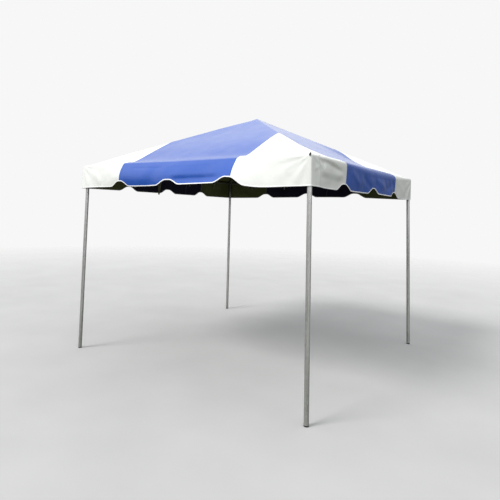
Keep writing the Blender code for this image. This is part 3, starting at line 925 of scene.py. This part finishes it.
def add_eave_straps(k):
    """Short straps round the eave rail that hold the top down; their ends hang inside the valance."""
    parts, thread = [], []
    along = np.array((*turned(k, 1.0, 0.0), 0.0))
    inward = np.array((*turned(k, 0.0, 1.0), 0.0))
    tail = np.linspace(0, 1, 9)[1:]
    length = EAVE_STRAP_END - EAVE_JOIN
    first = np.stack([EAVE_LAYER + EAVE_APART[0] * tail**2, -EAVE_JOIN - 0.55 * length * tail], axis=1)[::-1]
    last = np.stack([-EAVE_LAYER + EAVE_APART[1] * tail**2, -EAVE_JOIN - length * tail], axis=1)
    flat = np.concatenate([first, round_rail(EAVE_JOIN), last])
    swing = np.clip((-flat[:, 1:] - EAVE_SWING[0]) / EAVE_SWING[1], 0.0, 1.0) ** 1.5
    face = inward * WEBBING * 1.25
    row = along * (STRAP_WIDTH / 2 - EAVE_MARGIN)
    for x, sway, twist in EAVE_STRAPS:
        middle = np.array((*turned(k, x, -AXIS), RAIL_Z))
        path = middle + flat[:, :1] * inward - flat[:, 1:] * DOWN + sway * swing * along
        across = along * math.cos(twist) + DOWN * math.sin(twist)
        parts.append(ribbon(path, across, STRAP_WIDTH, WEBBING))
        for low in EAVE_ROWS:
            place = middle + DOWN * low + face
            thread += stitches(place - row, place + row, face * STITCH_LIFT, 5)
    add_joined(f"eave_straps_{SIDES[k]}", parts, PALE_STRAP)
    add_joined(f"eave_strap_thread_{SIDES[k]}", thread, THREAD)


def pin_end(place, axis, rings):
    """One end of a pin through a sleeve."""
    first = unit(np.cross(axis, -DOWN))
    ring = circle(first, np.cross(axis, first), 16)
    loops = [(SLEEVE_RADIUS + out) * axis + PIN_RADIUS * share * ring for out, share in rings]
    return swept(place + np.stack(loops))


def pin_parts(place, axis):
    """A quick pin through a sleeve, with its pull ring hanging at the inner end."""
    centre = place + axis * (SLEEVE_RADIUS + RING_OUT) + DOWN * RING_RADIUS
    ring = centre + RING_RADIUS * circle(np.cross(axis, DOWN), DOWN, 32)
    wire = round_wire(ring, RING_WIRE, axis, 8, closed=True)
    return [pin_end(place, axis, PIN_HEAD), pin_end(place, -axis, PIN_TIP), wire]


def add_pins():
    """Quick pins through all sleeves of the fittings."""
    crown = []
    for k, name in enumerate(CORNERS):
        side_x, side_y = turned(k, -1.0, -1.0)
        joint = np.array((side_x * AXIS, side_y * AXIS, RAIL_Z))
        along_x, along_y = np.array((-side_x, 0.0, 0.0)), np.array((0.0, -side_y, 0.0))
        hip = unit(np.array((-side_x, -side_y, SLOPE)))
        beside_hip = unit(np.array((-side_y, side_x, 0.0)))
        hip_place = hip * HIP_SLEEVE * PIN_PLACE
        parts = pin_parts(joint + DOWN * LEG_SLEEVE * LEG_PIN, unit(along_x + along_y))
        parts += pin_parts(joint + along_x * RAIL_SLEEVE * PIN_PLACE, along_y)
        parts += pin_parts(joint + along_y * RAIL_SLEEVE * PIN_PLACE, along_x)
        parts += pin_parts(joint + hip_place, beside_hip)
        add_joined(f"pins_{name}", parts, ZINC)
        crown += pin_parts(np.array((0.0, 0.0, CROWN_Z)) - hip_place, beside_hip)
    add_joined("pins_crown", crown, ZINC)


TAB_PLACE = (1.508, -1.5205, 2.179)  # on the bend, beside the edge of the front right corner
TAB_WIDTH, TAB_DEPTH, TAB_HEIGHT = 0.0165, 0.0055, 0.031
TAB_TILT = 30  # degrees from upright
TAB_POWER = 0.72  # 1 is an ellipse, and less is squarer
TAB_TAPER = 0.25  # how much narrower it is at its top than in its middle
TAB_RINGS = [(0, 1), (0.6, 1), (0.85, 0.93), (1, 0.78), (1, 0.4), (0.8, 0.34), (0.78, 0.06)]


def add_corner_tab():
    """The small black moulded tab on the bend at the front right corner, with a dimple in its face."""
    turn = np.linspace(0, 2 * math.pi, 29)[:-1]
    wide, high = (np.sign(v) * np.abs(v) ** TAB_POWER / 2 for v in (np.cos(turn), np.sin(turn)))
    outline = np.stack([wide * (1 - TAB_TAPER * np.sin(turn)), high], axis=1) * (TAB_WIDTH, TAB_HEIGHT)
    lean = math.radians(TAB_TILT)
    axes = np.array([(1.0, 0.0, 0.0), (0.0, math.sin(lean), math.cos(lean))])
    out = TAB_DEPTH * np.array((0.0, -math.cos(lean), math.sin(lean)))
    loops = np.stack([TAB_PLACE + share * outline @ axes + depth * out for depth, share in TAB_RINGS])
    add_joined("corner_tab_front_right", [swept(loops)], PLASTIC, sharp=45)


FLAP_SEAMS = [("back", -0.33), ("left", -0.4)]  # thin welds across the valance, seen from inside


add_tie()
for k in range(4):
    add_eave_straps(k)
add_pins()
add_corner_tab()
for side, x in FLAP_SEAMS:
    seam_tape(f"valance_weld_{side}", SIDES.index(side), x, FLAP_SEAM_HALF, onto_roof=False, places=3)


# Finishes of the pieces that CAD makes

for name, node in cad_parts.items():
    if not name.startswith(("roof_", "valance_", "tie_loop")):
        # Legs get the plain galvanised finish, feet the black plastic, and the rest of the frame the darker
        # copy with painted shade
        finish = {"leg": STEEL, "foot": PLASTIC}.get(name.split("_")[0], SHADED_STEEL)
        node.data.materials.clear()
        node.data.materials.append(finish)


# The studio

FLOOR_PALE, FLOOR_PALER = (0.43, 0.43, 0.427), (0.46, 0.46, 0.457)
FLOOR_BOUNCE = (0.07, 0.075, 0.06)
FLOOR_HALF = 40
FLOOR_FADE = (6, 15)  # distances over which the floor fades into the background
SKY_COLOUR = (0.97, 0.985, 1, 1)
BACKDROP = 0.93
HORIZON_LIGHT, SKY_LIGHT, SKY_FULL_AT = 0.42, 1.02, 0.5
# Each glow's direction, strength and sharpness
GLOWS = [((-0.62, -0.75, 0.25), 0.3, 3), ((0.8, -0.5, 0.2), 0.74, 3), ((-0.4, 0.88, 0.22), 0.5, 14)]
SHADE_FROM, SHADE_START, SHADE_FULL, SHADE_LEFT = (0.31, 0.95, 0.07), 0.8, 0.97, 0.35
GROUND_LIGHT = 0.12
KEY_FROM, KEY_ANGLE, KEY_STRENGTH, KEY_COLOUR = (-0.3, -0.68, 0.67), 22, 2.6, (1, 0.99, 0.97)


def add_stage():
    """A pale floor that fades into the background far from the tent. It throws little light back up."""
    mesh = bpy.data.meshes.new("floor")
    corners = [(x * FLOOR_HALF, y * FLOOR_HALF, 0) for x, y in ((-1, -1), (1, -1), (1, 1), (-1, 1))]
    mesh.from_pydata(corners, [], [(0, 1, 2, 3)])
    floor = add_object("floor", mesh)
    made = bpy.data.materials.new("pale_floor")
    made.use_nodes = True
    tree = made.node_tree
    tree.nodes.clear()
    grain = mapped(tree, noise_at(tree, 1.2, 4), 0, 1, 0.3, 0.7)
    pale = add_node(tree, "BsdfDiffuse", Color=blended(tree, grain, FLOOR_PALE, FLOOR_PALER))
    dim = add_node(tree, "BsdfDiffuse", Color=(*FLOOR_BOUNCE, 1))
    seen = add_node(tree, "LightPath").outputs["Is Camera Ray"]
    surface = add_node(tree, "MixShader", _0=seen, _1=dim.outputs[0], _2=pale.outputs[0])
    length = add_node(tree, "VectorMath", _0=add_node(tree, "TexCoord").outputs["Object"])
    length.operation = "LENGTH"
    fade = mapped(tree, length.outputs["Value"], 0, 1, *FLOOR_FADE)
    clear = add_node(tree, "BsdfTransparent")
    whole = add_node(tree, "MixShader", _0=fade, _1=surface.outputs[0], _2=clear.outputs[0])
    add_node(tree, "OutputMaterial", Surface=whole.outputs[0])
    mesh.materials.append(made)


def add_key():
    """One large soft light, high on the front left. Reflections see the room instead of it."""
    light = bpy.data.lights.new("key", "SUN")
    light.angle = math.radians(KEY_ANGLE)
    light.energy = KEY_STRENGTH
    light.color = KEY_COLOUR
    lamp = add_object("key", light)
    lamp.rotation_euler = Vector(KEY_FROM).to_track_quat("Z", "Y").to_euler()
    lamp.visible_glossy = False


def towards(tree, where, direction):
    """Cosine of the angle between the looked-up direction and a given one."""
    dot = add_node(tree, "VectorMath", _0=where, _1=Vector(direction).normalized())
    dot.operation = "DOT_PRODUCT"
    return dot.outputs["Value"]


def add_world():
    """Soft light from all round: bright above, dimmer at the horizon, a broad glow from the front left and
    less from the right."""
    world = bpy.data.worlds.new("studio")
    bpy.context.scene.world = world
    world.use_nodes = True
    tree = world.node_tree
    tree.nodes.clear()
    where = add_node(tree, "TexCoord").outputs["Generated"]
    height = add_node(tree, "SeparateXYZ", Vector=where).outputs["Z"]
    level = mapped(tree, height, HORIZON_LIGHT, SKY_LIGHT, 0, SKY_FULL_AT)
    for direction, strength, sharpness in GLOWS:
        facing = math_node(tree, "MAXIMUM", towards(tree, where, direction), 0)
        lobe = math_node(tree, "POWER", facing, sharpness)
        level = math_node(tree, "ADD", level, math_node(tree, "MULTIPLY", lobe, strength))
    shade = mapped(tree, towards(tree, where, SHADE_FROM), 1, SHADE_LEFT, SHADE_START, SHADE_FULL)
    level = math_node(tree, "MULTIPLY", level, shade)
    above = mapped(tree, height, 0, 1, -0.03, 0.01)
    low = mapped(tree, above, GROUND_LIGHT, 0)
    level = math_node(tree, "ADD", math_node(tree, "MULTIPLY", level, above), low)
    soft = add_node(tree, "Background", Color=SKY_COLOUR, Strength=level)
    seen = add_node(tree, "Background", Color=(1, 1, 1, 1), Strength=BACKDROP)
    camera_ray = add_node(tree, "LightPath").outputs["Is Camera Ray"]
    mix = add_node(tree, "MixShader", _0=camera_ray, _1=soft.outputs[0], _2=seen.outputs[0])
    add_node(tree, "OutputWorld", Surface=mix.outputs[0])


def add_camera():
    data = bpy.data.cameras.new("camera")
    data.sensor_width = 36
    data.lens = data.sensor_width * FOCAL_PIXELS / PICTURE
    data.shift_x = (PICTURE / 2 - MIDDLE_X) / PICTURE
    data.shift_y = (MIDDLE_Y - PICTURE / 2) / PICTURE
    data.clip_end = 200
    camera = add_object("camera", data)
    place = Matrix.Translation(CAMERA_PLACE)
    for axis, degrees in (("Z", CAMERA_YAW), ("X", 90 + CAMERA_PITCH), ("Z", CAMERA_ROLL)):
        place @= Matrix.Rotation(math.radians(degrees), 4, axis)
    camera.matrix_world = place
    bpy.context.scene.camera = camera


add_stage()
add_world()
add_key()
add_camera()
bpy.context.scene.view_settings.view_transform = "Standard"
